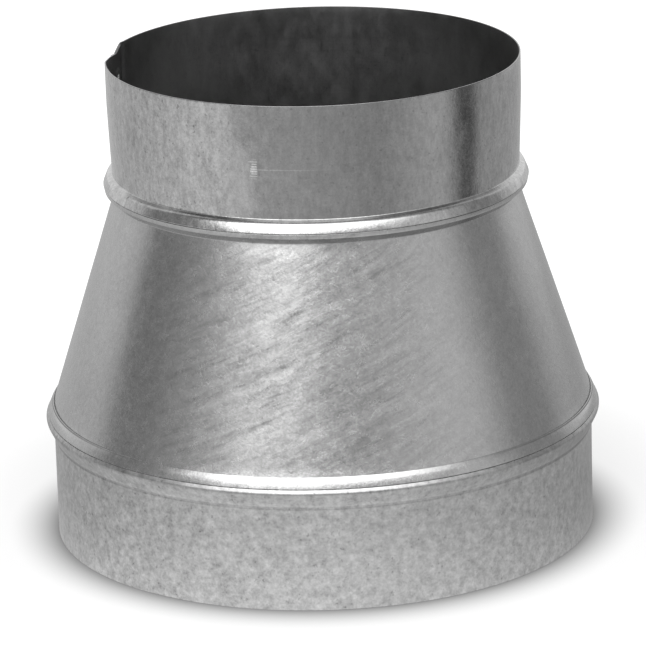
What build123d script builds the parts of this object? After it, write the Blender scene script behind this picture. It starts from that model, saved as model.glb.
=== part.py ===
from build123d import *
from math import atan, cos, degrees, hypot, radians, sin
import os

# Round duct reducer, 8 in to 6 in, standing on its large end.
# It is three pieces of rolled galvanised sheet: a small collar, a conical body and a large collar.
# Each piece is closed by a lap seam, and the pieces are locked together at two ribs.
# In a rib the upper piece's bead sits inside the lower piece's flared lip.
# Origin: centre of the large end's bottom edge, +Z along the duct towards the small end.

# Sheet
sheet = 0.55  # thickness
joint_gap = 0.06  # play between the two sheets nested in a rib
rib_line = 0.15  # open line between a bead and the lip under it
fold = 0  # a fold or a slight bend is a plain corner
tightest = 0.3  # so is the inside of a bend that would be tighter than this

# Large collar
large_radius = 101.6  # outside
large_collar_height = 38.7  # bottom edge to the corner under its lip
large_lip_height = 7.85  # that corner to the top of the folded lip
large_lip_reach = 3.05  # the lip's nose beyond the collar's wall
large_lip_nose = 1.7  # the nose below the lip's top
large_lip_fold = 1.0  # how far the lip's top is folded inwards, over the bead
large_lip_round = 1.6

# Conical body
taper_height = 79.45  # crease over the large rib to the corner under the small rib
foot_inset = 0.35  # the cone's foot inside the large collar's wall
shoulder_reach = 2.05  # the edge of the body's bead beyond the large collar's wall
shoulder_height = 2.4  # steep part of the bead, over the open line
shoulder_lean = 1.0  # how far that part leans in
shoulder_fall = 1.75  # flatter part, up to the crest
shoulder_round = 4.0
crest_width = 0.35  # the bead's crest stands this far from the cone
crest_rise = 0.6  # and this far above the crease between them
throat_inset = 0.15  # the cone's top inside the small collar's neck
small_lip_height = 4.35
small_lip_reach = 3.45  # the lip's top beyond the throat
small_lip_lean = 0.3  # how far the upright part of the lip leans out
small_lip_edge = 1.65  # height of that upright part
small_lip_round = 0.9

# Small collar
small_radius = 76.9  # outside, over the straight stretch at the rim
small_collar_height = 41.95  # neck to rim
straight_height = 14.6  # cylindrical stretch at the rim
collar_flare = 1.05  # how much wider the straight stretch is than the neck at the small rib
bead_reach = 3.55  # the bead's edge beyond the neck
bead_height = 4.55  # open line to the neck
bead_ledge = 1.95  # width of the bead's flatter top
bead_ledge_fall = 0.75
bead_round = 2.8
bead_edge_round = 0.4

# The sleeve that each bead ends in, inside the next piece down
sleeve_length = 5.0

# Lap seam, just behind the left side. Its two layers are pressed together.
lap_step = 0.45  # the outer layer's step over the inner one
seam_angle = 160.0  # the inner layer's edge, from +X
lap_angle = 7.0
joggle_angle = 3.0  # where the sheet steps out over that edge
button_radius = 2.9  # clinch buttons pressed into the lap
button_taper = 0.6
button_dimple = 0.6  # depth outside
button_boss = 0.3  # height inside
button_end = 12.0  # a button's centre from a piece's free edge
button_rib = 9.0  # a button's centre from a rib's corner

# Clipped corners of the small collar's sheet, a shallow notch in the rim: angles from the seam's
notch_depth = 2.8
notch_step_depth = 1.5
notch_back_angle = -1.0
notch_low_angle = 3.7
notch_step_angle = 15.0
notch_front_angle = 22.0

neck_radius = small_radius - collar_flare
throat_radius = neck_radius - throat_inset
foot_radius = large_radius - foot_inset
large_lip_top = large_collar_height + large_lip_height
shoulder_z = large_lip_top + rib_line + shoulder_height
crest_z = shoulder_z + shoulder_fall
crease_z = crest_z - crest_rise
throat_z = crease_z + taper_height
small_lip_top = throat_z + small_lip_height
neck_z = small_lip_top + rib_line + bead_height
rim_z = neck_z + small_collar_height


# A sheet's line is its outside surface from top to bottom, as (radius, height) points.
# The points move inwards by an amount, each corner along its mitre.
def inset(points, amount):
    normals = []
    for (r0, z0), (r1, z1) in zip(points, points[1:]):
        run = hypot(r1 - r0, z1 - z0)
        normals.append(((z1 - z0) / run, (r0 - r1) / run))
    moved = []
    for i, (r, z) in enumerate(points):
        before = normals[max(i - 1, 0)]
        after = normals[min(i, len(normals) - 1)]
        share = 1 + before[0] * after[0] + before[1] * after[1]
        moved.append(
            (
                r + amount * (before[0] + after[0]) / share,
                z + amount * (before[1] + after[1]) / share,
            )
        )
    return moved


# A bend's radius on the sheet's inside: larger where the line turns outwards, smaller where inwards.
def inset_radii(points, radii, amount):
    inside = []
    for (r0, z0), (r1, z1), (r2, z2), radius in zip(points, points[1:], points[2:], radii):
        outwards = (r1 - r0) * (z2 - z1) - (z1 - z0) * (r2 - r1) > 0
        bend = radius + amount if outwards else radius - amount
        inside.append(bend if radius and bend >= tightest else fold)
    return inside


def radial_plane(angle):
    turn = radians(angle)
    return Plane(origin=(0, 0, 0), x_dir=(cos(turn), sin(turn), 0), z_dir=(sin(turn), -cos(turn), 0))


# The sheet's cross-section on the radial plane at an angle.
def sheet_section(line, angle):
    points, radii = line
    inner = inset(points, sheet)
    with BuildSketch(radial_plane(angle)) as section:
        with BuildLine():
            FilletPolyline(*points, radius=radii)
            FilletPolyline(*inner, radius=inset_radii(points, radii, sheet))
            Line(points[0], inner[0])
            Line(points[-1], inner[-1])
        make_face()
    return section.sketch


# The outside lines. lap moves what shows of a piece outwards, for the seam's outer layer.
# past carries the lip's line on beyond its top.
def large_lip_line(lap, past=0):
    nose = large_radius + lap + large_lip_reach
    folded = large_lip_fold * (1 + past / large_lip_nose)
    points = [
        (nose - folded, large_lip_top + past),
        (nose, large_lip_top - large_lip_nose),
        (large_radius + lap, large_collar_height),
        (large_radius + lap, 0),
    ]
    return points, [large_lip_round, fold]


def small_lip_points(lap):
    top = throat_radius + lap + small_lip_reach
    return [
        (top, small_lip_top),
        (top - small_lip_lean, small_lip_top - small_lip_edge),
        (throat_radius + lap, throat_z),
        (foot_radius + lap, crease_z),
    ]


def taper_line(lap):
    nose = large_radius + lap + shoulder_reach
    lip, lip_radii = large_lip_line(0, past=rib_line)
    seat = inset(lip, sheet + joint_gap)
    points = small_lip_points(lap) + [
        (foot_radius + lap + crest_width, crest_z),
        (nose - shoulder_lean, shoulder_z),
        (nose, large_lip_top + rib_line + lap),
        seat[0],
        seat[1],
        seat[2],
        (seat[2][0], large_collar_height - sleeve_length),
    ]
    radii = [small_lip_round, fold, fold, fold, shoulder_round, fold, fold]
    return points, radii + inset_radii(lip, lip_radii, sheet + joint_gap)


def small_collar_line(lap):
    nose = neck_radius + lap + bead_reach
    under = small_lip_top + rib_line
    lip = small_lip_points(0)
    seat = inset(lip, sheet + joint_gap)
    seat_radii = inset_radii(lip, [small_lip_round, fold], sheet + joint_gap)
    points = [
        (small_radius + lap, rim_z),
        (small_radius + lap, rim_z - straight_height),
        (neck_radius + lap, neck_z),
        (neck_radius + lap + bead_ledge, neck_z - bead_ledge_fall),
        (nose, under),
        (seat[0][0], under),
        seat[1],
        seat[2],
        (seat[2][0], throat_z - sleeve_length),
    ]
    radii = [fold, fold, bead_round, bead_edge_round, fold] + seat_radii
    return points, radii


# A sheet rolled round once: single, then stepping out over its own edge, then double over the lap.
def roll(outline):
    revolve(sheet_section(outline(0), seam_angle), axis=Axis.Z, revolution_arc=360 - joggle_angle)
    before = sheet_section(outline(0), seam_angle - joggle_angle)
    over = sheet_section(outline(lap_step), seam_angle)
    loft([before, over], ruled=True)
    revolve(over, axis=Axis.Z, revolution_arc=lap_angle)


# Upright plane through the axis, facing the notch's lowest point.
notch_turn = radians(seam_angle + notch_low_angle)
notch_plane = Plane(
    origin=(0, 0, 0),
    x_dir=(-sin(notch_turn), cos(notch_turn), 0),
    z_dir=(cos(notch_turn), sin(notch_turn), 0),
)


# A clinch button on the lap, where the sheet's outside has this radius, height and lean:
# a dimple on the outside and a low boss on the inside.
def clinch_button(radius, height, lean=0):
    turn = radians(seam_angle + lap_angle / 2)
    tilt = radians(lean)
    face = Plane(
        origin=(radius * cos(turn), radius * sin(turn), height),
        x_dir=(-sin(turn), cos(turn), 0),
        z_dir=(cos(tilt) * cos(turn), cos(tilt) * sin(turn), sin(tilt)),
    )
    narrow = button_radius - button_taper
    wide = button_radius + button_taper
    with Locations(face.offset(-sheet)):
        Cone(narrow, wide, 2 * button_boss)
    with Locations(face.offset(lap_step)):
        Cone(narrow, wide, 2 * button_dimple, mode=Mode.SUBTRACT)


with BuildPart() as large_collar:
    roll(large_lip_line)
    clinch_button(large_radius, button_end)
    clinch_button(large_radius, large_collar_height - button_rib)

with BuildPart() as taper_body:
    roll(taper_line)
    growth = (foot_radius - throat_radius) / taper_height
    for height in (throat_z - button_rib, throat_z - taper_height / 2, crease_z + button_rib):
        clinch_button(throat_radius + growth * (throat_z - height), height, lean=degrees(atan(growth)))

with BuildPart() as small_collar:
    roll(small_collar_line)
    flare = (small_radius - neck_radius) / (small_collar_height - straight_height)
    clinch_button(neck_radius + flare * button_rib, neck_z + button_rib, lean=-degrees(atan(flare)))
    clinch_button(small_radius, rim_z - button_end)
    # the notch, cut outwards through both layers
    inside = small_radius * cos(radians(notch_front_angle - notch_low_angle)) - 2 * sheet
    outside = small_radius + 2 * sheet
    corners = [
        (small_radius * sin(radians(angle - notch_low_angle)), rim_z - depth)
        for angle, depth in (
            (notch_back_angle, -sheet),
            (notch_back_angle, 0),
            (notch_low_angle, notch_depth),
            (notch_step_angle, notch_step_depth),
            (notch_front_angle, 0),
            (notch_front_angle, -sheet),
        )
    ]
    with BuildSketch(notch_plane.offset(inside)):
        with BuildLine():
            Polyline(*corners, close=True)
        make_face()
    extrude(amount=outside - inside, mode=Mode.SUBTRACT)

os.makedirs("parts", exist_ok=True)
for name, piece in (
    ("large_collar", large_collar),
    ("taper_body", taper_body),
    ("small_collar", small_collar),
):
    piece.part.label = name
    export_step(piece.part, f"parts/{name}.step")
    print(name, "volume", round(piece.part.volume), "valid", piece.part.is_valid)
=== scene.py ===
from math import ceil, cos, degrees, hypot, pi, radians, sin, tan
from types import SimpleNamespace

import bpy
import numpy as np
from mathutils import Matrix, Vector


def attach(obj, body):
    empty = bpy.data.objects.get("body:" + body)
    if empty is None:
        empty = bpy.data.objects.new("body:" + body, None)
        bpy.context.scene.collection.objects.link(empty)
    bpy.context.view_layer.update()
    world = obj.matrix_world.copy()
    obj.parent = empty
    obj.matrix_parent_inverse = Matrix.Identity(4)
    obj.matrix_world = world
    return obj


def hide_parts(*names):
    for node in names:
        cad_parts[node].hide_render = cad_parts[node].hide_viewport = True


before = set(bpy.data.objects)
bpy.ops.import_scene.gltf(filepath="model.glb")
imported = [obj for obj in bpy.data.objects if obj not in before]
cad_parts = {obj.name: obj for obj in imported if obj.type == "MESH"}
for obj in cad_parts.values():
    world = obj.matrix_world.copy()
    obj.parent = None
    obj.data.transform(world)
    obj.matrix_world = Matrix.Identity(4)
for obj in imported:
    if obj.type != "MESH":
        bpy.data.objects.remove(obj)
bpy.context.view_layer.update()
print("frame loaded:", sorted(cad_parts))

# Round duct reducer: three rolled sheets, locked at two ribs, each closed by a lap seam.
# Lengths in the dictionaries of the sheets are millimetres, those of the studio, lamps and view metres,
# and angles are degrees. The meshes are metres.
mm = 0.001


# node helpers
def addNode(tree, kind, **settings):
    node = tree.nodes.new(kind)
    for key, value in settings.items():
        setattr(node, key, value)
    return node


def feed(tree, socket, value):
    if isinstance(value, bpy.types.NodeSocket):
        tree.links.new(value, socket)
    else:
        socket.default_value = value


def calc(tree, operation, *values):
    node = addNode(tree, "ShaderNodeMath", operation=operation)
    for socket, value in zip(node.inputs, values):
        feed(tree, socket, value)
    return node.outputs[0]


# the product of two or more values
def times(tree, first, *others):
    for other in others:
        first = calc(tree, "MULTIPLY", first, other)
    return first


def combine(tree, x, y, z):
    node = addNode(tree, "ShaderNodeCombineXYZ")
    for socket, value in zip(node.inputs, (x, y, z)):
        feed(tree, socket, value)
    return node.outputs[0]


def separate(tree, vector):
    node = addNode(tree, "ShaderNodeSeparateXYZ")
    feed(tree, node.inputs[0], vector)
    return node.outputs


# a value carried from one span to another, clamped, with eased or straight ends
def ramp(tree, value, fromLow, fromHigh, toLow=0.0, toHigh=1.0, eased=True):
    node = addNode(tree, "ShaderNodeMapRange", interpolation_type="SMOOTHSTEP" if eased else "LINEAR")
    for name, given in (
        ("Value", value),
        ("From Min", fromLow),
        ("From Max", fromHigh),
        ("To Min", toLow),
        ("To Max", toHigh),
    ):
        feed(tree, node.inputs[name], given)
    return node.outputs[0]


# a noise about zero, with its size in the vector's own units
def noise(tree, vector, size, detail, roughness=0.55):
    node = addNode(tree, "ShaderNodeTexNoise")
    feed(tree, node.inputs["Vector"], vector)
    node.inputs["Scale"].default_value = 1 / size
    node.inputs["Detail"].default_value = detail
    node.inputs["Roughness"].default_value = roughness
    return calc(tree, "SUBTRACT", node.outputs[0], 0.5)


# a value picked by a share from 0 to 1, from stops of (share, value), none above a most
def picked(tree, share, stops, most):
    ring = addNode(tree, "ShaderNodeValToRGB")
    elements = ring.color_ramp.elements
    for i, (place, value) in enumerate(stops):
        stop = elements[i] if i < 2 else elements.new(place)
        stop.position = place
        stop.color = (value / most, value / most, value / most, 1)
    feed(tree, ring.inputs[0], share)
    return times(tree, ring.outputs[0], most)


# how far two values are apart
def apart(tree, first, second):
    return calc(tree, "ABSOLUTE", calc(tree, "SUBTRACT", first, second))


# the sheets' lines: corners from top to bottom on the outside, as (radius, height, bend, lift)
# lift is 1 where the seam's outer layer steps outwards, and 0 in the hidden sleeves
sheetStock = {
    "thickness": 0.55,
    "jointGap": 0.06,  # play between the two sheets nested in a rib
    "ribLine": 0.15,  # open line between a bead and the lip under it
    "cutEdge": 0.13,  # rounding left by the shears and rollers
    "tightBend": 0.3,
    "crease": 0.12,
    "softBend": 0.5,
    "leastBend": 0.06,  # left on the inside of a tight bend
    "sleeve": 5.0,  # hidden end of a bead, inside the next piece down
}
largeCollar = {
    "radius": 101.6,
    "height": 38.7,
    "lipHeight": 7.85,
    "lipReach": 3.05,
    "lipNose": 1.7,  # the nose below the lip's top
    "lipFold": 1.0,  # how far the top is folded in
    "lipRound": 1.6,
    "footBend": 1.2,  # where the lip leaves the wall
}
taperBody = {
    "height": 79.45,
    "footInset": 0.35,
    "shoulderReach": 2.05,
    "shoulderHeight": 2.4,
    "shoulderLean": 1.0,
    "shoulderFall": 1.75,
    "shoulderRound": 4.0,
    "crestWidth": 0.35,
    "crestRise": 0.6,
    "throatInset": 0.15,
    "lipHeight": 4.35,
    "lipReach": 3.45,
    "lipLean": 0.3,
    "lipEdge": 1.65,
    "lipRound": 0.9,
}
smallCollar = {
    "radius": 76.9,
    "height": 41.95,
    "straight": 14.6,
    "flare": 1.05,
    "flareBend": 80.0,
    "beadReach": 3.55,
    "beadHeight": 4.55,
    "beadLedge": 1.95,
    "beadLedgeFall": 0.75,
    "beadRound": 2.8,
    "beadEdgeRound": 0.4,
}

neckRadius = smallCollar["radius"] - smallCollar["flare"]
throatRadius = neckRadius - taperBody["throatInset"]
footRadius = largeCollar["radius"] - taperBody["footInset"]
largeLipTop = largeCollar["height"] + largeCollar["lipHeight"]
shoulderZ = largeLipTop + sheetStock["ribLine"] + taperBody["shoulderHeight"]
crestZ = shoulderZ + taperBody["shoulderFall"]
creaseZ = crestZ - taperBody["crestRise"]
throatZ = creaseZ + taperBody["height"]
smallLipTop = throatZ + taperBody["lipHeight"]
neckZ = smallLipTop + sheetStock["ribLine"] + smallCollar["beadHeight"]
rimZ = neckZ + smallCollar["height"]


# the line moved inwards, each corner along its mitre
def insetLine(points, amount):
    normals = []
    for (r0, z0), (r1, z1) in zip(points, points[1:]):
        run = hypot(r1 - r0, z1 - z0)
        normals.append(((z1 - z0) / run, (r0 - r1) / run))
    moved = []
    for i, (r, z) in enumerate(points):
        before = normals[max(i - 1, 0)]
        after = normals[min(i, len(normals) - 1)]
        share = 1 + before[0] * after[0] + before[1] * after[1]
        movedRadius = r + amount * (before[0] + after[0]) / share
        movedHeight = z + amount * (before[1] + after[1]) / share
        moved.append((movedRadius, movedHeight))
    return moved


# the bends of the line moved inwards: larger where it turns outwards, smaller where inwards
def insetBends(points, bends, amount):
    inside = [bends[0]]
    for i in range(1, len(points) - 1):
        (r0, z0), (r1, z1), (r2, z2) = points[i - 1 : i + 2]
        outwards = (r1 - r0) * (z2 - z1) - (z1 - z0) * (r2 - r1) > 0
        inside.append(bends[i] + amount if outwards else max(bends[i] - amount, sheetStock["leastBend"]))
    inside.append(bends[-1])
    return inside


# past carries the lip's line on beyond its top
def largeLipCorners(past=0):
    nose = largeCollar["radius"] + largeCollar["lipReach"]
    folded = largeCollar["lipFold"] * (1 + past / largeCollar["lipNose"])
    return [
        (nose - folded, largeLipTop + past, sheetStock["cutEdge"], 1),
        (nose, largeLipTop - largeCollar["lipNose"], largeCollar["lipRound"], 1),
        (largeCollar["radius"], largeCollar["height"], largeCollar["footBend"], 1),
        (largeCollar["radius"], 0.0, sheetStock["cutEdge"], 1),
    ]


def smallLipCorners():
    top = throatRadius + taperBody["lipReach"]
    return [
        (top, smallLipTop, sheetStock["cutEdge"], 1),
        (top - taperBody["lipLean"], smallLipTop - taperBody["lipEdge"], taperBody["lipRound"], 1),
        (throatRadius, throatZ, sheetStock["tightBend"], 1),
        (footRadius, creaseZ, sheetStock["crease"], 1),
    ]


# the corners of what nests inside a lip and ends in a sleeve below it
def seatCorners(lip, foot):
    gap = sheetStock["thickness"] + sheetStock["jointGap"]
    places = insetLine([c[:2] for c in lip], gap)
    bends = insetBends([c[:2] for c in lip], [c[2] for c in lip], gap)
    seat = [(places[i][0], places[i][1], bends[i], 0) for i in range(3)]
    return seat + [(places[2][0], foot, sheetStock["cutEdge"], 0)]


def taperCorners():
    nose = largeCollar["radius"] + taperBody["shoulderReach"]
    under = largeLipTop + sheetStock["ribLine"]
    lip = largeLipCorners(past=sheetStock["ribLine"])
    seat = seatCorners(lip, largeCollar["height"] - sheetStock["sleeve"])
    seat[0] = (seat[0][0], seat[0][1], sheetStock["crease"], 0)
    return (
        smallLipCorners()
        + [
            (footRadius + taperBody["crestWidth"], crestZ, sheetStock["tightBend"], 1),
            (nose - taperBody["shoulderLean"], shoulderZ, taperBody["shoulderRound"], 1),
            (nose, under, sheetStock["crease"], 1),
        ]
        + seat
    )


def smallCollarCorners():
    nose = neckRadius + smallCollar["beadReach"]
    under = smallLipTop + sheetStock["ribLine"]
    ledge = neckRadius + smallCollar["beadLedge"]
    seat = seatCorners(smallLipCorners(), throatZ - sheetStock["sleeve"])
    return [
        (smallCollar["radius"], rimZ, sheetStock["cutEdge"], 1),
        (smallCollar["radius"], rimZ - smallCollar["straight"], smallCollar["flareBend"], 1),
        (neckRadius, neckZ, sheetStock["softBend"], 1),
        (ledge, neckZ - smallCollar["beadLedgeFall"], smallCollar["beadRound"], 1),
        (nose, under, smallCollar["beadEdgeRound"], 1),
        (seat[0][0], under, sheetStock["crease"], 0),
    ] + seat[1:]


# how closely a sheet is divided
sheetMesh = {
    "railPoints": 320,  # round the duct and over the lap
    "crowding": 0.8,  # how much they crowd towards the seam
    "coarseStep": 3.5,  # up a wall
    "fineStep": 0.55,  # beside the clinch buttons
    "fineReach": 5.0,  # above and below a button's centre
    "bendStep": 11,  # angle between the points of a bend
    "bendShare": 0.48,  # the most of a straight stretch that one bend takes
    "lastStep": 1.4,  # a rest of fewer steps than this isn't divided
}


# the closed loop round a sheet's cross-section, with its bends rounded, as (radius, height, lift, side)
# side is 1 on the outside and 0 on the inside
def sheetLoop(corners, buttons):
    outside = [c[:2] for c in corners]
    bends = [c[2] for c in corners]
    inside = insetLine(outside, sheetStock["thickness"])
    insideBends = insetBends(outside, bends, sheetStock["thickness"])
    loop = [(r, z, b, c[3], 1.0) for (r, z), b, c in zip(outside, bends, corners)]
    loop += [(r, z, b, c[3], 0.0) for (r, z), b, c in zip(inside, insideBends, corners)][::-1]
    rounded = []
    for i, (r, z, bend, lift, side) in enumerate(loop):
        here = Vector((r, z))
        back = Vector(loop[i - 1][:2]) - here
        ahead = Vector(loop[(i + 1) % len(loop)][:2]) - here
        turn = back.angle(ahead)
        share = sheetMesh["bendShare"]
        reach = min(bend / tan(turn / 2), share * back.length, share * ahead.length)
        bend = reach * tan(turn / 2)
        middle = here + (back.normalized() + ahead.normalized()).normalized() * (bend / sin(turn / 2))
        start = here + back.normalized() * reach - middle
        end = here + ahead.normalized() * reach - middle
        sweep = pi - turn
        parts = max(1, ceil(degrees(sweep) / sheetMesh["bendStep"]))
        way = 1 if start.x * end.y - start.y * end.x > 0 else -1
        for k in range(parts + 1):
            a = way * sweep * k / parts
            swung = Vector((start.x * cos(a) - start.y * sin(a), start.x * sin(a) + start.y * cos(a)))
            rounded.append((*(middle + swung), lift, side))
    points = []
    for i, corner in enumerate(rounded):
        following = rounded[(i + 1) % len(rounded)]
        length = hypot(following[0] - corner[0], following[1] - corner[1])
        at = 0.0
        while at < length - 1e-6:
            point = [a + (b - a) * (at / length) for a, b in zip(corner, following)]
            points.append(point)
            close = any(abs(point[1] - z) < sheetMesh["fineReach"] for r, z in buttons)
            step = sheetMesh["fineStep"] if close else sheetMesh["coarseStep"]
            left = length - at
            at += left if left < sheetMesh["lastStep"] * step else step
    return points


# the lap seam that closes each sheet
lapSeam = {
    "angle": 160.0,  # the inner layer's edge, from +X
    "lap": 7.0,
    "joggle": 3.0,  # where the sheet steps out over that edge
    "step": 0.45,
    "buttonRadius": 2.9,  # clinch buttons pressed through both layers
    "buttonTaper": 0.6,
    "dimple": 0.6,  # depth outside
    "boss": 0.3,  # height inside
    "buttonEnd": 12.0,  # a button's centre from a sheet's free edge
    "buttonRib": 9.0,  # a button's centre from a rib's corner
}
fullTurn = 360 + lapSeam["lap"]
seamMiddle = lapSeam["angle"] + lapSeam["lap"] / 2
# Sheet rolled by hand tools is never quite round: slow, shallow waves pull its wall inwards.
rollWaves = {"depth": 0.16, "length": 46.0, "span": (0.3, 0.7)}  # span: the noise's values that count
# the inputs of the rolling tree that every sheet shares
rollInputs = {
    "railPoints": sheetMesh["railPoints"],
    "crowding": sheetMesh["crowding"],
    "startAngle": radians(lapSeam["angle"]),
    "lapAngle": radians(lapSeam["lap"]),
    "joggleAngle": radians(lapSeam["joggle"]),
    "lapStep": lapSeam["step"] * mm,
    "buttonRadius": lapSeam["buttonRadius"] * mm,
    "buttonTaper": lapSeam["buttonTaper"] * mm,
    "dimpleDepth": lapSeam["dimple"] * mm,
    "bossHeight": lapSeam["boss"] * mm,
    "waveDepth": rollWaves["depth"] * mm,
    "waveLength": rollWaves["length"] * mm,
}


def rolledSheetTree():
    tree = bpy.data.node_groups.new("rolledSheet", "GeometryNodeTree")
    face = tree.interface
    face.new_socket("Sheet", in_out="INPUT", socket_type="NodeSocketGeometry")
    for name, value in rollInputs.items():
        kind = "NodeSocketInt" if isinstance(value, int) else "NodeSocketFloat"
        face.new_socket(name, in_out="INPUT", socket_type=kind)
    face.new_socket("buttons", in_out="INPUT", socket_type="NodeSocketObject")
    face.new_socket("finish", in_out="INPUT", socket_type="NodeSocketMaterial")
    face.new_socket("Piece", in_out="OUTPUT", socket_type="NodeSocketGeometry")
    given = addNode(tree, "NodeGroupInput")
    result = addNode(tree, "NodeGroupOutput")
    put = given.outputs

    def capture(geometry, value, kind):
        node = addNode(tree, "GeometryNodeCaptureAttribute", domain="POINT")
        node.capture_items.new(kind, "kept")
        feed(tree, node.inputs[0], geometry)
        feed(tree, node.inputs[1], value)
        return node.outputs[0], node.outputs[1]

    # the rail: once round and over the lap, with its points crowded towards the seam
    rail = addNode(tree, "GeometryNodeCurvePrimitiveLine")
    resample = addNode(tree, "GeometryNodeResampleCurve")
    feed(tree, resample.inputs["Curve"], rail.outputs[0])
    feed(tree, resample.inputs["Count"], put["railPoints"])
    factor = addNode(tree, "GeometryNodeSplineParameter").outputs["Factor"]
    swing = calc(tree, "DIVIDE", calc(tree, "SINE", times(tree, factor, 2 * pi)), 2 * pi)
    eased = calc(tree, "SUBTRACT", factor, times(tree, swing, put["crowding"]))
    sweep = calc(tree, "ADD", put["lapAngle"], 2 * pi)
    railCurve, turned = capture(resample.outputs[0], times(tree, eased, sweep), "FLOAT")
    angle = calc(tree, "ADD", turned, put["startAngle"])
    east = calc(tree, "COSINE", angle)
    north = calc(tree, "SINE", angle)
    bendRail = addNode(tree, "GeometryNodeSetPosition")
    feed(tree, bendRail.inputs["Geometry"], railCurve)
    feed(tree, bendRail.inputs["Position"], combine(tree, east, north, 0.0))

    # the sheet's cross-section, with where each of its points was
    outline = addNode(tree, "GeometryNodeMeshToCurve")
    feed(tree, outline.inputs[0], put["Sheet"])
    position = addNode(tree, "GeometryNodeInputPosition").outputs[0]
    outlineCurve, place = capture(outline.outputs[0], position, "VECTOR")
    roll = addNode(tree, "GeometryNodeCurveToMesh")
    feed(tree, roll.inputs["Curve"], bendRail.outputs[0])
    feed(tree, roll.inputs["Profile Curve"], outlineCurve)
    feed(tree, roll.inputs["Fill Caps"], True)
    radius, _, height = separate(tree, place)

    def named(name):
        node = addNode(tree, "GeometryNodeInputNamedAttribute", data_type="FLOAT")
        node.inputs["Name"].default_value = name
        return node.outputs["Attribute"]

    # the point at a distance from the axis, where the sheet is rolled to
    def rolledTo(distance):
        x = times(tree, distance, east)
        y = times(tree, distance, north)
        return combine(tree, x, y, height)

    # the outer layer steps out over the inner one's edge
    joggleStart = calc(tree, "SUBTRACT", 2 * pi, put["joggleAngle"])
    over = ramp(tree, turned, joggleStart, 2 * pi)
    stepOut = times(tree, over, put["lapStep"], named("lift"))

    # clinch buttons press both layers inwards, deeper outside than inside
    centres = addNode(tree, "GeometryNodeObjectInfo")
    feed(tree, centres.inputs["Object"], put["buttons"])
    nearest = addNode(tree, "GeometryNodeProximity", target_element="POINTS")
    feed(tree, nearest.inputs["Geometry"], centres.outputs["Geometry"])
    nominal = rolledTo(radius)
    feed(tree, nearest.inputs["Sample Position"], nominal)
    wide = calc(tree, "ADD", put["buttonRadius"], put["buttonTaper"])
    narrow = calc(tree, "SUBTRACT", put["buttonRadius"], put["buttonTaper"])
    pressed = ramp(tree, nearest.outputs["Distance"], wide, narrow)
    extra = calc(tree, "SUBTRACT", put["dimpleDepth"], put["bossHeight"])
    depth = calc(tree, "MULTIPLY_ADD", named("side"), extra, put["bossHeight"])
    pressIn = times(tree, pressed, depth)

    waves = addNode(tree, "ShaderNodeTexNoise", noise_dimensions="3D")
    feed(tree, waves.inputs["Vector"], nominal)
    feed(tree, waves.inputs["Scale"], calc(tree, "DIVIDE", 1.0, put["waveLength"]))
    waves.inputs["Detail"].default_value = 1.0
    waver = ramp(tree, waves.outputs[0], *rollWaves["span"], eased=False)
    waver = times(tree, waver, put["waveDepth"])

    inward = calc(tree, "ADD", pressIn, waver)
    finalRadius = calc(tree, "ADD", calc(tree, "SUBTRACT", radius, inward), stepOut)
    settle = addNode(tree, "GeometryNodeSetPosition")
    feed(tree, settle.inputs["Geometry"], roll.outputs[0])
    feed(tree, settle.inputs["Position"], rolledTo(finalRadius))
    keepTurn = addNode(tree, "GeometryNodeStoreNamedAttribute", data_type="FLOAT", domain="POINT")
    keepTurn.inputs["Name"].default_value = "turn"
    feed(tree, keepTurn.inputs["Geometry"], settle.outputs[0])
    feed(tree, keepTurn.inputs["Value"], turned)
    smooth = addNode(tree, "GeometryNodeSetShadeSmooth")
    feed(tree, smooth.inputs["Geometry"], keepTurn.outputs[0])
    realise = addNode(tree, "GeometryNodeRealizeInstances")
    feed(tree, realise.inputs[0], smooth.outputs[0])
    paint = addNode(tree, "GeometryNodeSetMaterial")
    feed(tree, paint.inputs["Geometry"], realise.outputs[0])
    feed(tree, paint.inputs["Material"], put["finish"])
    feed(tree, result.inputs[0], paint.outputs[0])
    return tree


def socketName(tree, name):
    for item in tree.interface.items_tree:
        if item.name == name and item.in_out == "INPUT":
            return item.identifier


def rollSheet(name, tree, corners, buttons, finish):
    loop = sheetLoop(corners, buttons)
    section = bpy.data.meshes.new(name + "Section")
    spots = [(r * mm, 0, z * mm) for r, z, lift, side in loop]
    edges = [(i, (i + 1) % len(loop)) for i in range(len(loop))]
    section.from_pydata(spots, edges, [])
    for key, column in (("lift", 2), ("side", 3)):
        values = [point[column] for point in loop]
        section.attributes.new(key, "FLOAT", "POINT").data.foreach_set("value", values)
    middle = radians(seamMiddle)
    centres = bpy.data.meshes.new(name + "Buttons")
    spots = [(r * mm * cos(middle), r * mm * sin(middle), z * mm) for r, z in buttons]
    centres.from_pydata(spots, [], [])
    centresObject = bpy.data.objects.new(name + "Buttons", centres)
    maker = bpy.data.objects.new(name + "Maker", section)
    for helper in (centresObject, maker):
        bpy.context.scene.collection.objects.link(helper)
    modifier = maker.modifiers.new("roll", "NODES")
    modifier.node_group = tree
    for key, value in (*rollInputs.items(), ("buttons", centresObject), ("finish", finish)):
        modifier[socketName(tree, key)] = value
    graph = bpy.context.evaluated_depsgraph_get()
    mesh = bpy.data.meshes.new_from_object(maker.evaluated_get(graph), depsgraph=graph)
    maker.modifiers.clear()
    for helper in (maker, centresObject):
        bpy.data.objects.remove(helper)
    mesh.name = name
    piece = bpy.data.objects.new(name, mesh)
    bpy.context.scene.collection.objects.link(piece)
    return piece


def meshPoints(mesh):
    spots = np.empty(len(mesh.vertices) * 3)
    mesh.vertices.foreach_get("co", spots)
    return spots.reshape(-1, 3)


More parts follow.
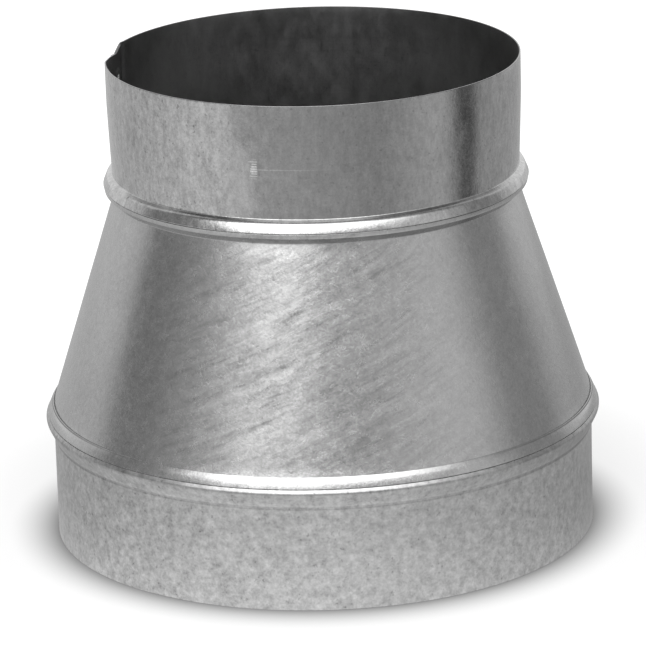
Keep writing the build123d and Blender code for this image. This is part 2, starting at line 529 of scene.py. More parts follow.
# faces outwards, and a crisp line at every tight corner
def finishMesh(piece, sharpAngle=32):
    mesh = piece.data
    mesh.calc_loop_triangles()
    corners = np.empty(len(mesh.loop_triangles) * 3, np.int32)
    mesh.loop_triangles.foreach_get("vertices", corners)
    a, b, c = meshPoints(mesh)[corners.reshape(-1, 3)].transpose(1, 0, 2)
    volume = float(np.einsum("ij,ij->", a, np.cross(b, c))) / 6
    if volume < 0:
        mesh.flip_normals()
    mesh.set_sharp_from_angle(angle=radians(sharpAngle))
    print(piece.name, "triangles", len(mesh.loop_triangles), "volume mm3", round(abs(volume) * 1e9))


# how far a mark reaches round the sheets: its strength by the angle from the seam's start
allRound = ((0, 1.0), (fullTurn, 1.0))
underRib = ((0, 0.0), (74, 0.0), (90, 0.9), (110, 1.0), (122, 0.0), (fullTurn, 0.0))
inFront = (
    (0, 0.0), (72, 0.0), (88, 0.9), (100, 1.0), (130, 1.0), (146, 0.4), (160, 0.0), (fullTurn, 0.0),
)
# how far painted shade reaches round: none in front, full at the sides and back
awayFromFront = (
    (0, 1.0), (34, 1.0), (60, 0.25), (75, 0.0), (140, 0.0), (165, 0.5), (182, 1.0), (fullTurn, 1.0),
)
brushed = (
    (0, 0.0), (64, 0.0), (84, 0.8), (92, 1.0), (106, 1.0), (126, 0.7), (140, 0.15), (160, 0.0),
    (fullTurn, 0.0),
)

# finish: hot-dipped sheet with a fine, dull spangle
galvanised = {
    "tone": 0.43,
    "roughness": 0.27,
    "leastTone": 0.05,
    "leastRough": 0.08,
    "grainSize": 0.9,  # crystals
    "grainTone": 0.10,
    "grainRough": 0.12,
    "grainBump": 0.03,  # height of the crystals
    "facetSize": 1.7,  # flat cells among the crystals
    "facetTone": 0.02,
    "facetBump": 0.25,
    "speckSize": 1.9,  # groups of crystals
    "speckTone": 0.05,
    "mottleSize": 4.2,  # patches
    "mottleTone": 0.12,
    "mottleRough": 0.20,
    "cloudSize": 35.0,  # slow changes over the sheet
    "cloudTone": 0.05,
    "pitSize": 1.4,  # small dark pits
    "pitTone": 0.10,
    "pitSpan": (0.16, 0.26),  # the noise's values where a pit starts and is full
    "detail": allRound,  # strength of the whole pattern
    "stretch": 1.0,  # under 1 draws the pattern out upwards
    "streakTone": 0.0,  # brush strokes, rising to the right
    "bandTone": 0.0,  # wide soft bands along the strokes
    "lineTone": 0.0,  # faint upright and level lines from the rollers
    "scratched": False,
    "insideShade": 0.68,  # painted shade: the inside's tone as a share of the outside's
    "insideRough": 0.17,  # how much rougher the inside is
    "insideDetail": 0.4,
    "insideBump": 0.25,
    "shadeLines": (),  # painted shade along a groove, corner, edge or under a rib: height, half width, darkness and reach round the sheet
    "paintedGlints": (),  # painted highlights inside: small bright spots, as radius, angle, height and size
    "paintedHighlights": (),  # painted highlights: bright patches, as lower and upper height, angle, half angle, gain
}
# brush strokes on the cone
brush = {
    "slope": 25.0,
    "radius": 88.0,  # the cone's, halfway up
    "slant": 1.05,  # length along the cone's wall for its height
    "long": 13.0,
    "wide": 1.7,
    "bandLong": 30.0,
    "bandWide": 3.4,
    "bend": 1.2,  # how far the strokes wander
    "bendSize": 11.0,
    "wearSize": 13.0,  # the patches where they are worn away
    "wearSpan": (-0.22, 0.12),
    "leastLeft": 0.25,  # what is left of them there
    "footFade": (1.0, 7.0),  # above the crease at the cone's foot
    "topFade": (1.0, -3.0),  # from the corner at its top
    "strokeSpan": (-0.06, 0.24),
    "rough": 0.08,
    "bump": 0.4,
}
# a rub mark: short level ticks in a column, and a faint tail to the right
scratch = {
    "turn": 93.3,
    "radius": 76.6,  # the wall's
    "height": 157.4,
    "halfWidth": 1.3,
    "widthSpread": 2.2,  # how much the ticks differ in width
    "shiftSpread": 1.4,  # and how far they stray sideways
    "sideFade": (0.15, -0.5),  # past a tick's end, from none to full
    "halfHeight": 4.6,
    "heightFade": 0.15,  # share of that height where the fade starts
    "strength": 0.9,
    "pitch": 0.9,  # from tick to tick
    "halfTick": 0.2,
    "tickFade": 0.12,
    "heart": -0.4,  # height of the solid part
    "heartFade": (1.9, 0.4),
    "heartStrength": 0.45,
    "tail": 34.0,  # its length
    "tailStart": (0.4, 0.9),
    "tailFade": 0.2,  # share of the tail where its fade starts
    "tailHeight": -0.2,
    "tailWidth": (0.34, 0.1),  # from its middle line, from none to full
    "tailStrength": 0.24,
    "tone": 0.5,
    "rough": 0.2,
}
rollerLines = {"upright": (120.0, 25.0), "level": (1.6, 1100.0)}  # lines per radian round and metre up
# the share of a mark's width that has its full strength
markCore = {"shadeLine": 0.4, "patch": 0.3, "spot": 0.5}
patchTopFade = (2.4, 1.6)  # above a painted highlight's upper height
# how much a painted highlight spot adds to tone and roughness
glintSpot = {"tone": 0.5, "rough": 0.3}


# a value that differs inside and outside, changing within the sheet's cut edges
def bySide(sheet, inside, outside):
    return ramp(sheet.tree, sheet.outer, 0.2, 0.8, inside, outside)


# a strength picked by the angle from the seam's start
def byTurn(sheet, stops):
    share = calc(sheet.tree, "DIVIDE", sheet.turn, radians(fullTurn))
    return picked(sheet.tree, share, [(degree / fullTurn, strength) for degree, strength in stops], 4.0)


# a fade from one height to another
def byHeight(sheet, start, end):
    return ramp(sheet.tree, sheet.height, start * mm, end * mm)


# the spangle: its tone, its roughness and its height for the bump
def spangle(sheet, look):
    tree = sheet.tree
    stretched = addNode(tree, "ShaderNodeVectorMath", operation="MULTIPLY")
    feed(tree, stretched.inputs[0], sheet.spot)
    stretched.inputs[1].default_value = (1, 1, look["stretch"])
    grain = noise(tree, sheet.spot, look["grainSize"] * mm, 2, 0.7)
    speck = noise(tree, stretched.outputs[0], look["speckSize"] * mm, 2, 0.6)
    mottle = noise(tree, stretched.outputs[0], look["mottleSize"] * mm, 3, 0.6)
    cloud = noise(tree, sheet.spot, look["cloudSize"] * mm, 2)
    pit = ramp(tree, noise(tree, sheet.spot, look["pitSize"] * mm, 1, 0.5), *look["pitSpan"])
    crystals = addNode(tree, "ShaderNodeTexVoronoi", feature="F1")
    feed(tree, crystals.inputs["Vector"], sheet.spot)
    crystals.inputs["Scale"].default_value = 1 / (look["facetSize"] * mm)
    facet = calc(tree, "SUBTRACT", separate(tree, crystals.outputs["Color"])[0], 0.5)

    detail = times(tree, grain, look["grainTone"] * 2)
    detail = calc(tree, "MULTIPLY_ADD", facet, look["facetTone"], detail)
    detail = calc(tree, "MULTIPLY_ADD", speck, look["speckTone"] * 2, detail)
    detail = calc(tree, "MULTIPLY_ADD", mottle, look["mottleTone"] * 2, detail)
    detail = calc(tree, "MULTIPLY_ADD", pit, -look["pitTone"], detail)
    strength = times(tree, byTurn(sheet, look["detail"]), bySide(sheet, look["insideDetail"], 1.0))
    tone = calc(tree, "MULTIPLY_ADD", cloud, look["cloudTone"] * 2, look["tone"])
    tone = calc(tree, "MULTIPLY_ADD", detail, strength, tone)
    rough = calc(tree, "MULTIPLY_ADD", mottle, look["mottleRough"], look["roughness"])
    rough = calc(tree, "MULTIPLY_ADD", grain, look["grainRough"], rough)
    rough = calc(tree, "ADD", rough, bySide(sheet, look["insideRough"], 0.0))
    relief = calc(tree, "ADD", grain, times(tree, facet, look["facetBump"]))
    return tone, rough, relief


# brush strokes and soft bands that rise to the right, worn away in patches
def brushMarks(sheet, look, tone, rough, relief):
    tree = sheet.tree
    across = times(tree, sheet.turn, brush["radius"] * mm)
    upSlope = times(tree, sheet.height, brush["slant"])
    c = cos(radians(brush["slope"]))
    s = sin(radians(brush["slope"]))
    along = calc(tree, "MULTIPLY_ADD", across, c, times(tree, upSlope, s))
    beside = calc(tree, "MULTIPLY_ADD", across, -s, times(tree, upSlope, c))
    wander = noise(tree, sheet.spot, brush["bendSize"] * mm, 1)
    beside = calc(tree, "MULTIPLY_ADD", wander, brush["bend"] * mm * 2, beside)

    def flow(length, width, seed):
        lengths = calc(tree, "DIVIDE", along, length * mm)
        widths = calc(tree, "DIVIDE", beside, width * mm)
        return noise(tree, combine(tree, lengths, widths, seed), 1.0, 2, 0.5)

    strokes = flow(brush["long"], brush["wide"], 0.0)
    bands = flow(brush["bandLong"], brush["bandWide"], 5.0)
    reach = byTurn(sheet, brushed)
    patches = noise(tree, sheet.spot, brush["wearSize"] * mm, 1)
    left = ramp(tree, patches, *brush["wearSpan"], brush["leastLeft"], 1.0)
    aboveFoot = byHeight(sheet, *(creaseZ + rise for rise in brush["footFade"]))
    belowTop = byHeight(sheet, *(throatZ + rise for rise in brush["topFade"]))
    left = times(tree, reach, left, aboveFoot, belowTop)
    stroke = times(tree, ramp(tree, strokes, *brush["strokeSpan"]), left)
    tone = calc(tree, "MULTIPLY_ADD", stroke, -look["streakTone"], tone)
    tone = calc(tree, "MULTIPLY_ADD", times(tree, bands, reach), look["bandTone"] * 2, tone)
    rough = calc(tree, "MULTIPLY_ADD", stroke, brush["rough"], rough)
    relief = calc(tree, "MULTIPLY_ADD", times(tree, strokes, left), brush["bump"], relief)
    return tone, rough, relief


def rubMark(sheet, tone, rough):
    tree = sheet.tree
    turned = calc(tree, "SUBTRACT", sheet.turn, radians(scratch["turn"]))
    aside = times(tree, turned, scratch["radius"])
    above = calc(tree, "SUBTRACT", calc(tree, "DIVIDE", sheet.height, mm), scratch["height"])

    # the ticks: each row's chance sets its width and place
    step = calc(tree, "DIVIDE", above, scratch["pitch"])
    row = calc(tree, "ROUND", step)
    level = times(tree, apart(tree, step, row), scratch["pitch"])
    chance = noise(tree, combine(tree, times(tree, row, 3.7), 1.3, 2.9), 1.0, 0)
    reach = calc(tree, "MULTIPLY_ADD", chance, scratch["widthSpread"], scratch["halfWidth"])
    shift = calc(tree, "MULTIPLY_ADD", chance, scratch["shiftSpread"], aside)
    pastSide = calc(tree, "SUBTRACT", calc(tree, "ABSOLUTE", shift), reach)
    inWidth = ramp(tree, pastSide, *scratch["sideFade"])
    tick = scratch["halfTick"]
    soft = scratch["tickFade"]
    inTick = ramp(tree, level, tick + soft, tick - soft)
    heart = ramp(tree, apart(tree, above, scratch["heart"]), *scratch["heartFade"])
    inTick = calc(tree, "MAXIMUM", inTick, times(tree, heart, scratch["heartStrength"]))
    tall = scratch["halfHeight"]
    fromMiddle = calc(tree, "ABSOLUTE", above)
    inHeight = ramp(tree, fromMiddle, tall, tall * scratch["heightFade"], 0.0, scratch["strength"])
    ticks = times(tree, inWidth, inTick, inHeight)

    tailEnd = ramp(tree, aside, scratch["tail"], scratch["tail"] * scratch["tailFade"])
    tailLength = times(tree, tailEnd, ramp(tree, aside, *scratch["tailStart"]))
    fromTail = apart(tree, above, scratch["tailHeight"])
    tailWidth = ramp(tree, fromTail, *scratch["tailWidth"], 0.0, scratch["tailStrength"])
    mark = calc(tree, "MAXIMUM", ticks, times(tree, tailLength, tailWidth))
    tone = calc(tree, "MULTIPLY_ADD", mark, scratch["tone"], tone)
    rough = calc(tree, "MULTIPLY_ADD", mark, scratch["rough"], rough)
    return tone, rough


# faint lines from the rollers, upright and level
def drawnLines(sheet, look, tone):
    tree = sheet.tree
    lines = []
    for (around, up), seed in ((rollerLines["upright"], 0.0), (rollerLines["level"], 7.0)):
        turns = times(tree, sheet.turn, around)
        heights = times(tree, sheet.height, up)
        lines.append(noise(tree, combine(tree, turns, heights, seed), 1.0, 2, 0.5))
    return calc(tree, "MULTIPLY_ADD", calc(tree, "ADD", *lines), look["lineTone"] * 2, tone)


# painted highlight: a brighter patch of the sheet
def paintedHighlightPatch(sheet, tone, low, high, middle, spread, gain):
    tree = sheet.tree
    away = apart(tree, sheet.turn, radians(middle))
    patch = ramp(tree, away, radians(spread), radians(spread * markCore["patch"]))
    belowTop = byHeight(sheet, *(high + rise for rise in patchTopFade))
    patch = times(tree, patch, byHeight(sheet, low, high), belowTop)
    return times(tree, tone, calc(tree, "MULTIPLY_ADD", patch, gain, 1.0))


# painted shade: a darker band along a groove, corner or edge, where shade falls
def paintedShadeLine(sheet, tone, height, halfWidth, darkness, reach):
    tree = sheet.tree
    away = apart(tree, sheet.height, height * mm)
    dark = ramp(tree, away, halfWidth * mm, halfWidth * mm * markCore["shadeLine"], 0.0, darkness)
    dark = times(tree, dark, byTurn(sheet, reach))
    return times(tree, tone, calc(tree, "SUBTRACT", 1.0, dark))


# painted highlight: a small bright spot standing in for a glint
def paintedGlintSpot(sheet, tone, rough, radius, angle, height, size):
    tree = sheet.tree
    east = radius * mm * cos(radians(angle))
    north = radius * mm * sin(radians(angle))
    away = addNode(tree, "ShaderNodeVectorMath", operation="DISTANCE")
    feed(tree, away.inputs[0], sheet.spot)
    away.inputs[1].default_value = (east, north, height * mm)
    bright = ramp(tree, away.outputs["Value"], size * mm, size * mm * markCore["spot"])
    tone = calc(tree, "MULTIPLY_ADD", bright, glintSpot["tone"], tone)
    rough = calc(tree, "MULTIPLY_ADD", bright, glintSpot["rough"], rough)
    return tone, rough


def galvanisedSheet(name, changes):
    look = {**galvanised, **changes}
    material = bpy.data.materials.new(name)
    material.use_nodes = True
    tree = material.node_tree
    shader = tree.nodes["Principled BSDF"]
    spot = addNode(tree, "ShaderNodeTexCoord").outputs["Object"]
    height = separate(tree, spot)["Z"]
    turn = addNode(tree, "ShaderNodeAttribute", attribute_name="turn").outputs["Fac"]
    outer = addNode(tree, "ShaderNodeAttribute", attribute_name="side").outputs["Fac"]
    sheet = SimpleNamespace(tree=tree, spot=spot, height=height, turn=turn, outer=outer)

    tone, rough, relief = spangle(sheet, look)
    if look["streakTone"]:
        tone, rough, relief = brushMarks(sheet, look, tone, rough, relief)
    if look["scratched"]:
        tone, rough = rubMark(sheet, tone, rough)
    if look["lineTone"]:
        tone = drawnLines(sheet, look, tone)
    # painted highlights
    for patch in look["paintedHighlights"]:
        tone = paintedHighlightPatch(sheet, tone, *patch)
    # painted shade in the grooves and corners
    for shadeLine in look["shadeLines"]:
        tone = paintedShadeLine(sheet, tone, *shadeLine)
    # painted shade: the inside is darker than the outside
    tone = times(tree, tone, bySide(sheet, look["insideShade"], 1.0))
    # painted highlights inside
    for paintedGlints in look["paintedGlints"]:
        tone, rough = paintedGlintSpot(sheet, tone, rough, *paintedGlints)

    tone = calc(tree, "MAXIMUM", tone, look["leastTone"])
    feed(tree, shader.inputs["Base Color"], combine(tree, tone, tone, tone))
    shader.inputs["Metallic"].default_value = 1.0
    feed(tree, shader.inputs["Roughness"], calc(tree, "MAXIMUM", rough, look["leastRough"]))
    bump = addNode(tree, "ShaderNodeBump")
    feed(tree, bump.inputs["Strength"], bySide(sheet, look["insideBump"], 1.0))
    bump.inputs["Distance"].default_value = look["grainBump"] * mm
    feed(tree, bump.inputs["Height"], relief)
    feed(tree, shader.inputs["Normal"], bump.outputs[0])
    return material


# what each sheet's finish changes
largeCollarLook = {
    "roughness": 0.34,
    "grainTone": 0.11,
    "speckTone": 0.15,
    "mottleTone": 0.17,
    "cloudTone": 0.03,
    "detail": ((0, 1.2), (60, 1.25), (95, 1.15), (130, 1.0), (fullTurn, 1.0)),
    # painted shade: a dark line in the corner where the lip leaves the wall, darker away from the front,
    # and a broad darker band over the lip
    "shadeLines": (
        (largeCollar["height"] + 0.1, 1.0, 0.24, allRound),
        (largeCollar["height"] + 0.3, 1.0, 0.30, awayFromFront),
        (largeCollar["height"] + 5.2, 5.4, 0.15, allRound),
    ),
}
taperBodyLook = {
    "roughness": 0.23,
    "grainTone": 0.05,
    "speckTone": 0.03,
    "mottleTone": 0.025,
    "pitTone": 0.03,
    "streakTone": 0.17,
    "bandTone": 0.16,
    "detail": (
        (0, 1.6), (60, 1.6), (72, 1.3), (85, 1.4), (93, 2.1), (105, 2.2), (112, 1.8), (126, 1.4),
        (150, 1.4), (fullTurn, 1.5),
    ),
    # painted shade: a dark line in the crease at the cone's foot, only away from the front, and a darker
    # band under the small rib in front
    "shadeLines": ((creaseZ + 0.1, 0.32, 0.8, awayFromFront), (throatZ + 2.0, 2.4, 0.2, underRib)),
    # a painted highlight on the cone just under the small rib, in front
    "paintedHighlights": ((122.5, 128.0, 97.0, 17.0, 0.35),),
}
smallCollarLook = {
    "roughness": 0.17,
    "grainTone": 0.10,
    "speckTone": 0.11,
    "mottleTone": 0.09,
    "stretch": 0.5,
    "lineTone": 0.016,
    "scratched": True,
    "detail": (
        (0, 1.3), (70, 1.6), (82, 1.6), (88, 1.0), (112, 0.75), (150, 1.0), (180, 1.2), (fullTurn, 1.1),
    ),
    # painted shade on the bead's ledge in front, and a darker line along the rim
    "shadeLines": ((neckZ - 0.55, 0.85, 0.48, inFront), (rimZ, 0.35, 0.35, allRound)),
    # a painted highlight on the button near the rim, inside
    "paintedGlints": ((smallCollar["radius"] - 0.85, seamMiddle, rimZ - lapSeam["buttonEnd"], 1.6),),
}

# the clinch buttons' centres, as (radius, height) on each sheet's outside
nearEnd = lapSeam["buttonEnd"]
nearRib = lapSeam["buttonRib"]
largeButtons = [(largeCollar["radius"], z) for z in (nearEnd, largeCollar["height"] - nearRib)]
growth = (footRadius - throatRadius) / taperBody["height"]
taperHeights = (throatZ - nearRib, throatZ - taperBody["height"] / 2, creaseZ + nearRib)
taperButtons = [(throatRadius + growth * (throatZ - z), z) for z in taperHeights]
flareGrowth = (smallCollar["radius"] - neckRadius) / (smallCollar["height"] - smallCollar["straight"])
smallButtons = [
    (neckRadius + flareGrowth * nearRib, neckZ + nearRib),
    (smallCollar["radius"], rimZ - nearEnd),
]

rolledSheet = rolledSheetTree()
pieces = {}
for node, name, corners, buttons, look in (
    ("large_collar", "largeCollarSheet", largeLipCorners(), largeButtons, largeCollarLook),
    ("taper_body", "taperBodySheet", taperCorners(), taperButtons, taperBodyLook),
    ("small_collar", "smallCollarSheet", smallCollarCorners(), smallButtons, smallCollarLook),
):
    finish = galvanisedSheet(name + "Zinc", look)
    pieces[node] = rollSheet(name, rolledSheet, corners, buttons, finish)
    print("rolled", name)

# clipped corners of the small collar's sheet: a notch in its rim, as (angle from the seam, depth)
rimNotch = {"line": ((-1.0, 0.0), (3.7, 2.8), (15.0, 1.5), (22.0, 0.0)), "fade": 7.0}


def cutNotch(piece):
    mesh = piece.data
    spots = meshPoints(mesh)
    angles = np.degrees(np.arctan2(spots[:, 1], spots[:, 0])) - lapSeam["angle"]
    angles = (angles + 180) % 360 - 180
    depth = np.interp(angles, *zip(*rimNotch["line"]), left=0, right=0) * mm
    low = (rimZ - rimNotch["fade"]) * mm
    share = np.clip((spots[:, 2] - low) / (rimNotch["fade"] * mm), 0, 1)
    spots[:, 2] -= depth * share
    mesh.vertices.foreach_set("co", spots.ravel())


cutNotch(pieces["small_collar"])
for node, piece in pieces.items():
    finishMesh(piece)
    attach(piece, "root")
    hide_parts(node)
print("pieces in place")

# floor, light and camera
# Tones round the studio by bearing: 0 is towards the camera, minus to its left, 180 behind the object.
studio = {
    "floorReach": 6.0,
    "floorTone": 0.8,
    "floorRough": 0.9,
    "paper": 0.6,  # share of plain white that the camera sees on the floor
    "paperReach": (0.115, 0.26),  # where the strength of that white starts and stops rising
    "paperGlow": (1.05, 1.5),
    "contactShadow": {"darkness": 0.7, "width": 0.020, "fade": 1.7},  # painted shadow on the floor at the object's foot
    "nearTones": (  # painted glow of the floor near the object, which only the metal's reflections see
        (-180, 0.52), (-150, 0.58), (-112, 0.63), (-78, 0.71), (-36, 0.99), (0, 1.04), (30, 0.85),
        (60, 0.74), (78, 0.66), (100, 0.60), (116, 0.60), (150, 0.52), (180, 0.50),
    ),
    "closeGains": (  # and the gain on that at the object's foot
        (-180, 0.84), (-110, 0.94), (-60, 1.2), (30, 1.2), (55, 1.08), (67, 0.98), (85, 0.80),
        (110, 0.70), (180, 0.70),
    ),
    "farTones": (  # painted glow of the floor further out
        (-180, 0.60), (-150, 0.63), (-110, 0.72), (-70, 0.90), (-48, 0.95), (-42, 0.60), (0, 0.52),
        (34, 0.41), (66, 0.64), (75, 0.57), (84, 0.10), (92, 0.10), (98, 0.49), (118, 0.51), (145, 0.49),
        (180, 0.55),
    ),
    "nearReach": (0.21, 0.42),  # where the near tones give way to the far ones
    # the edge of a bright stretch in the painted glow: its bearing, how far round it the slant fades, the
    # slant, and where it starts
    "brightStretch": {"edge": -42.0, "spread": (24.0, 10.0), "slant": -12.0, "reach": (0.63, 0.56)},
    # a dark stretch of the painted glow at the right, which is paler close by
    "gap": {"middle": 88.0, "spread": (12.0, 3.0), "fill": 0.10, "reach": (0.56, 0.48)},
    # the floor far behind the object
    "distant": {"tone": 0.76, "bearings": (118.0, 132.0), "reach": (0.75, 1.0)},
}
room = {
    "wallTones": (
        (-180, 1.0), (-150, 1.08), (-132, 1.02), (-118, 0.86), (-109, 0.76), (-102, 0.30), (-86, 0.30),
        (-56, 0.56), (-34, 1.10), (-14, 1.12), (2, 0.66), (14, 0.54), (56, 0.88), (72, 0.84), (90, 0.40),
        (112, 0.38), (122, 0.76), (138, 1.04), (155, 1.1), (180, 1.05),
    ),
    "panelTones": (  # the panel's own, by bearing
        (-180, 0.0), (-72, 0.0), (-50, 0.8), (-42, 1.0), (34, 1.0), (44, 0.5), (66, 0.0), (180, 0.0),
    ),
    "panelGlow": 3.2,
    "panelLow": (24.0, 29.0),  # elevation of its lower edge, left and right
    "panelEnds": (-25.0, 35.0),  # bearings between which that edge climbs
    "lowFade": (-3.0, 4.0),  # round that edge, from none to full
    "panelHigh": (78.0, 70.0),  # its upper edge, from none to full
    "backTone": 0.38,  # the wall behind the object, above the white backdrop
    "backBearings": (115.0, 145.0),
    "backLow": (24.0, 38.0),
    "ceilingTone": 0.8,
    "ceilingLow": (55.0, 75.0),  # elevations between which the walls turn into it
}


# a tone picked by a bearing in radians
def toneRing(tree, bearing, tones):
    share = calc(tree, "MULTIPLY_ADD", bearing, 1 / (2 * pi), 0.5)
    return picked(tree, share, [((degree + 180) / 360, tone) for degree, tone in tones], 2.0)


# a mix of two values
def blended(tree, share, first, second):
    mix = addNode(tree, "ShaderNodeMix", data_type="FLOAT")
    feed(tree, mix.inputs[0], share)
    feed(tree, mix.inputs[2], first)
    feed(tree, mix.inputs[3], second)
    return mix.outputs[0]


# painted glow of the floor, standing in for the lit floor, which only the metal's reflections see: outward
# is the distance from the axis
def mirroredFloorGlow(tree, outward, bearing):
    # the painted glow has a bright stretch, and its edge runs aslant
    brightStretch = studio["brightStretch"]
    besideEdge = ramp(tree, apart(tree, bearing, radians(brightStretch["edge"])), *map(radians, brightStretch["spread"]))
    slant = times(tree, besideEdge, ramp(tree, outward, *brightStretch["reach"], 0.0, radians(brightStretch["slant"])))
    farTone = toneRing(tree, calc(tree, "ADD", bearing, slant), studio["farTones"])
    gap = studio["gap"]
    inGap = ramp(tree, apart(tree, bearing, radians(gap["middle"])), *map(radians, gap["spread"]))
    gapFill = times(tree, inGap, ramp(tree, outward, *gap["reach"]))
    farTone = calc(tree, "MULTIPLY_ADD", gapFill, gap["fill"], farTone)
    distant = studio["distant"]
    behind = ramp(tree, calc(tree, "ABSOLUTE", bearing), *map(radians, distant["bearings"]))
    away = times(tree, behind, ramp(tree, outward, *distant["reach"]))
    farTone = calc(tree, "MULTIPLY_ADD", away, calc(tree, "SUBTRACT", distant["tone"], farTone), farTone)
    gain = toneRing(tree, bearing, studio["closeGains"])
    gain = ramp(tree, outward, largeCollar["radius"] * mm, studio["nearReach"][0], gain, 1.0)
    nearTone = times(tree, toneRing(tree, bearing, studio["nearTones"]), gain)
    return blended(tree, ramp(tree, outward, *studio["nearReach"]), nearTone, farTone)


def paleFloor():
    half = studio["floorReach"]
    mesh = bpy.data.meshes.new("floor")
    corners = [(-half, -half, 0), (half, -half, 0), (half, half, 0), (-half, half, 0)]
    mesh.from_pydata(corners, [], [(0, 1, 2, 3)])
    floor = bpy.data.objects.new("floor", mesh)
    bpy.context.scene.collection.objects.link(floor)
    paint = bpy.data.materials.new("paleFloor")
    paint.use_nodes = True
    tree = paint.node_tree
    shader = tree.nodes["Principled BSDF"]
    rays = addNode(tree, "ShaderNodeLightPath")
    east, north, _ = separate(tree, addNode(tree, "ShaderNodeTexCoord").outputs["Object"])
    south = times(tree, north, -1.0)
    outward = calc(tree, "SQRT", calc(tree, "MULTIPLY_ADD", south, south, times(tree, east, east)))
    bearing = calc(tree, "ARCTAN2", east, south)

    # a painted shadow darkens it where it meets the object's foot
    contactShadow = studio["contactShadow"]
    foot = largeCollar["radius"] * mm
    closeness = ramp(tree, outward, foot + contactShadow["width"], foot, eased=False)
    closeness = calc(tree, "POWER", closeness, contactShadow["fade"])
    shade = calc(tree, "MULTIPLY_ADD", closeness, -contactShadow["darkness"], 1.0)
    tone = times(tree, shade, studio["floorTone"])
    feed(tree, shader.inputs["Base Color"], combine(tree, tone, tone, tone))
    shader.inputs["Roughness"].default_value = studio["floorRough"]
    shader.inputs["Specular IOR Level"].default_value = 0.0
    paper = addNode(tree, "ShaderNodeEmission")
    glow = ramp(tree, outward, *studio["paperReach"], *studio["paperGlow"])
    feed(tree, paper.inputs["Strength"], times(tree, shade, glow))
    plain = addNode(tree, "ShaderNodeMixShader")
    feed(tree, plain.inputs[0], times(tree, rays.outputs["Is Camera Ray"], studio["paper"]))
    feed(tree, plain.inputs[1], shader.outputs[0])
    feed(tree, plain.inputs[2], paper.outputs[0])

    # painted glow for the metal's reflections, outside the duct
    mirrored = addNode(tree, "ShaderNodeEmission")
    feed(tree, mirrored.inputs["Strength"], mirroredFloorGlow(tree, outward, bearing))
    outsideDuct = calc(tree, "GREATER_THAN", outward, foot)
    choose = addNode(tree, "ShaderNodeMixShader")
    feed(tree, choose.inputs[0], times(tree, rays.outputs["Is Glossy Ray"], outsideDuct))
    feed(tree, choose.inputs[1], plain.outputs[0])
    feed(tree, choose.inputs[2], mirrored.outputs[0])
    feed(tree, tree.nodes["Material Output"].inputs["Surface"], choose.outputs[0])
    mesh.materials.append(paint)
    return floor


# white to the camera, a ring of wall tones, and a wide bright panel that only the metal mirrors
def whiteRoom():
    world = bpy.data.worlds.new("studio")
    bpy.context.scene.world = world
    world.use_nodes = True
    tree = world.node_tree
    back = tree.nodes["Background"]
    rays = addNode(tree, "ShaderNodeLightPath")
    east, north, up = separate(tree, addNode(tree, "ShaderNodeTexCoord").outputs["Generated"])
    bearing = calc(tree, "ARCTAN2", east, times(tree, north, -1.0))
    climb = calc(tree, "ARCSINE", up)
    lowEdge = ramp(tree, bearing, *map(radians, room["panelEnds"]), *map(radians, room["panelLow"]))
    aboveEdge = ramp(tree, calc(tree, "SUBTRACT", climb, lowEdge), *map(radians, room["lowFade"]))
    underTop = ramp(tree, climb, *map(radians, room["panelHigh"]))
    onPanel = times(tree, aboveEdge, underTop, rays.outputs["Is Glossy Ray"])
    panelTone = times(tree, toneRing(tree, bearing, room["panelTones"]), room["panelGlow"])
    behind = ramp(tree, calc(tree, "ABSOLUTE", bearing), *map(radians, room["backBearings"]))
    upperBack = times(tree, behind, ramp(tree, climb, *map(radians, room["backLow"])))
    walls = blended(tree, upperBack, toneRing(tree, bearing, room["wallTones"]), room["backTone"])
    ceiling = ramp(tree, climb, *map(radians, room["ceilingLow"]))
    walls = blended(tree, ceiling, walls, room["ceilingTone"])
    seen = calc(tree, "MULTIPLY_ADD", onPanel, panelTone, walls)
    back.inputs["Color"].default_value = (1, 1, 1, 1)
    feed(tree, back.inputs["Strength"], calc(tree, "MAXIMUM", rays.outputs["Is Camera Ray"], seen))


floor = paleFloor()
whiteRoom()

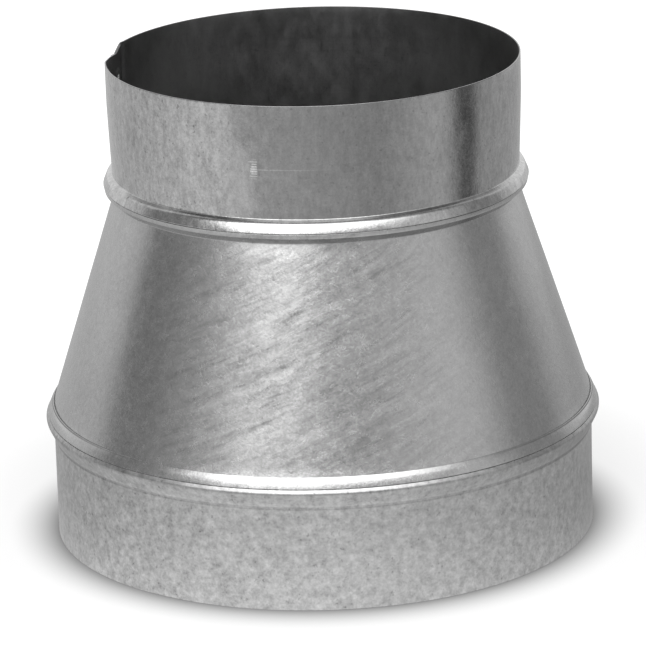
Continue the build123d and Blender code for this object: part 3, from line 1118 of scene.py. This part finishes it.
lamps = {
    "overheadPanel": {
        "place": (-0.12, -0.95, 1.28), "target": (0, -0.1, 0.1), "size": (1.3, 1.5), "glow": 3.0,
    },
    "keyPanel": {
        "place": (-0.55, -1.35, 1.15), "target": (0, 0, 0.1), "size": (0.7, 0.5), "glow": 2.0,
    },
}


# a wide soft lamp that no ray sees as a shape
def softLight(name, place, target, size, glow):
    light = bpy.data.lights.new(name, "AREA")
    light.shape = "RECTANGLE"
    light.size, light.size_y = size
    light.energy = glow * pi * size[0] * size[1]
    lamp = bpy.data.objects.new(name, light)
    lamp.location = place
    lamp.rotation_euler = (Vector(target) - Vector(place)).to_track_quat("-Z", "Y").to_euler()
    lamp.visible_camera = False
    lamp.visible_glossy = False
    bpy.context.scene.collection.objects.link(lamp)


for name, lamp in lamps.items():
    softLight(name, **lamp)

# the photograph's view: aim is the point at the picture's middle
view = {
    "lens": 250.8,
    "sensor": 36.0,
    "distance": 1.6876,
    "elevation": 16.67,
    "lookHeight": 0.095,  # the height on the axis that the distance and elevation start from
    "aim": (0.00103, 0.0, 0.07666),
    "roll": 1.684,
}


def placeCamera():
    camera = bpy.data.cameras.new("camera")
    camera.lens = view["lens"]
    camera.sensor_width = view["sensor"]
    cameraObject = bpy.data.objects.new("camera", camera)
    tilt = radians(view["elevation"])
    eye = Vector((0, -view["distance"] * cos(tilt), view["lookHeight"] + view["distance"] * sin(tilt)))
    ahead = (Vector(view["aim"]) - eye).normalized()
    level = Vector((1, 0, 0))
    across = (level - ahead * level.dot(ahead)).normalized()
    above = across.cross(ahead).normalized()
    roll = radians(view["roll"])
    sideways = across * cos(roll) - above * sin(roll)
    upwards = across * sin(roll) + above * cos(roll)
    cameraObject.matrix_world = Matrix((
        (sideways.x, upwards.x, -ahead.x, eye.x),
        (sideways.y, upwards.y, -ahead.y, eye.y),
        (sideways.z, upwards.z, -ahead.z, eye.z),
        (0, 0, 0, 1),
    ))
    bpy.context.scene.collection.objects.link(cameraObject)
    bpy.context.scene.camera = cameraObject


placeCamera()
bpy.context.scene.view_settings.view_transform = "Standard"
print("studio ready")
